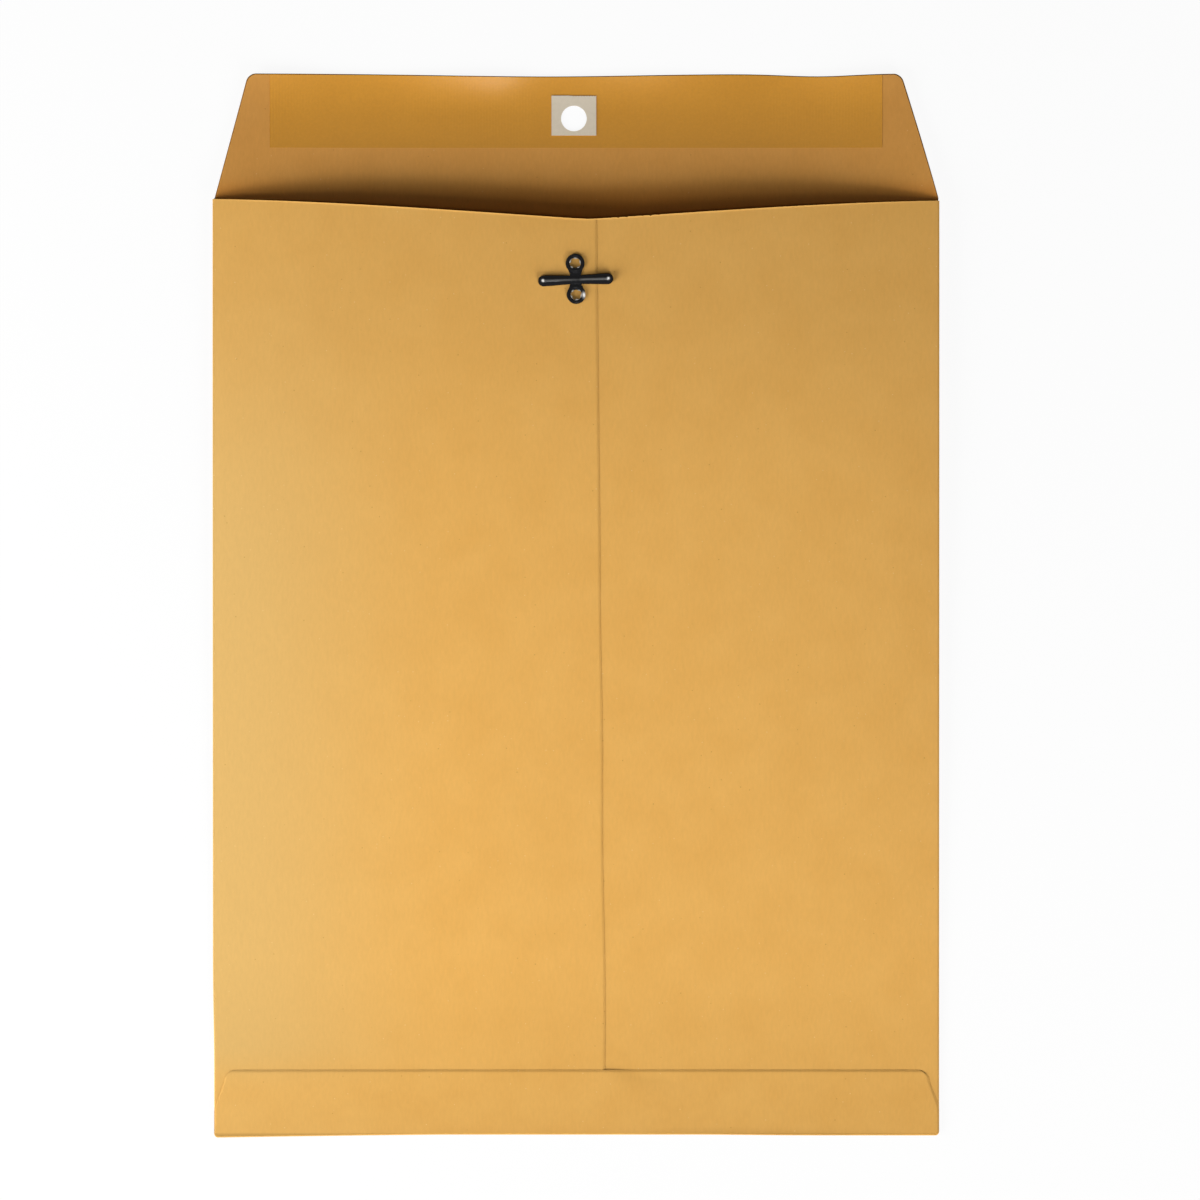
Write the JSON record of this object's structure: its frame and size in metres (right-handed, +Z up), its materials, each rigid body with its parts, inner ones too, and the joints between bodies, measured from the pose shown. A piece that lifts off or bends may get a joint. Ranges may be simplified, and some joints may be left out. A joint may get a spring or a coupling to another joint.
{
  "type": "clasp envelope",
  "caption": "Flat kraft paper envelope with a centre seam, a folded bottom flap, a gummed seal flap with a patched hole, and a metal clasp whose two wings bend up.",
  "frame": {"origin": "on the table, under the middle of the envelope with its seal flap open", "axes": "+X across the envelope, +Y from the bottom fold to the seal flap's tip, +Z up from the front that lies on the table to the seam side"},
  "size_m": [0.255, 0.3726, 0.0069],
  "materials": {
    "kraft_paper": "matte",
    "dried_glue": "satin",
    "seal_gum": "semi-gloss",
    "patch_paper": "matte",
    "clasp_metal": "gloss"
  },
  "bodies": {
    "pocket": {"front_panel": "kraft_paper", "left_back_panel": "kraft_paper", "right_back_panel": "kraft_paper", "bottom_flap": "kraft_paper", "seam_glue": "dried_glue", "bottom_flap_glue": "dried_glue", "clasp_base": "clasp_metal"},
    "flap": {"seal_flap": "kraft_paper", "seal_gum": "seal_gum", "hole_patch": "patch_paper"},
    "left_wing": {"left_wing": "clasp_metal"},
    "right_wing": {"right_wing": "clasp_metal"}
  },
  "joints": [
    {"name": "flap_fold", "type": "hinge", "parent": "pocket", "child": "flap", "pos_m": [0, 0.1423, 0.0032], "axis": [1, 0, 0], "range_deg": [0, 177]},
    {"name": "left_wing_bend", "type": "hinge", "parent": "pocket", "child": "left_wing", "pos_m": [-0.0017, 0.11394, 0.00603], "axis": [-0.0349, 0.9994, 0], "range_deg": [0, 90]},
    {"name": "right_wing_bend", "type": "hinge", "parent": "pocket", "child": "right_wing", "pos_m": [0.0015, 0.11406, 0.00603], "axis": [0.0349, -0.9994, 0], "range_deg": [0, 90]}
  ]
}
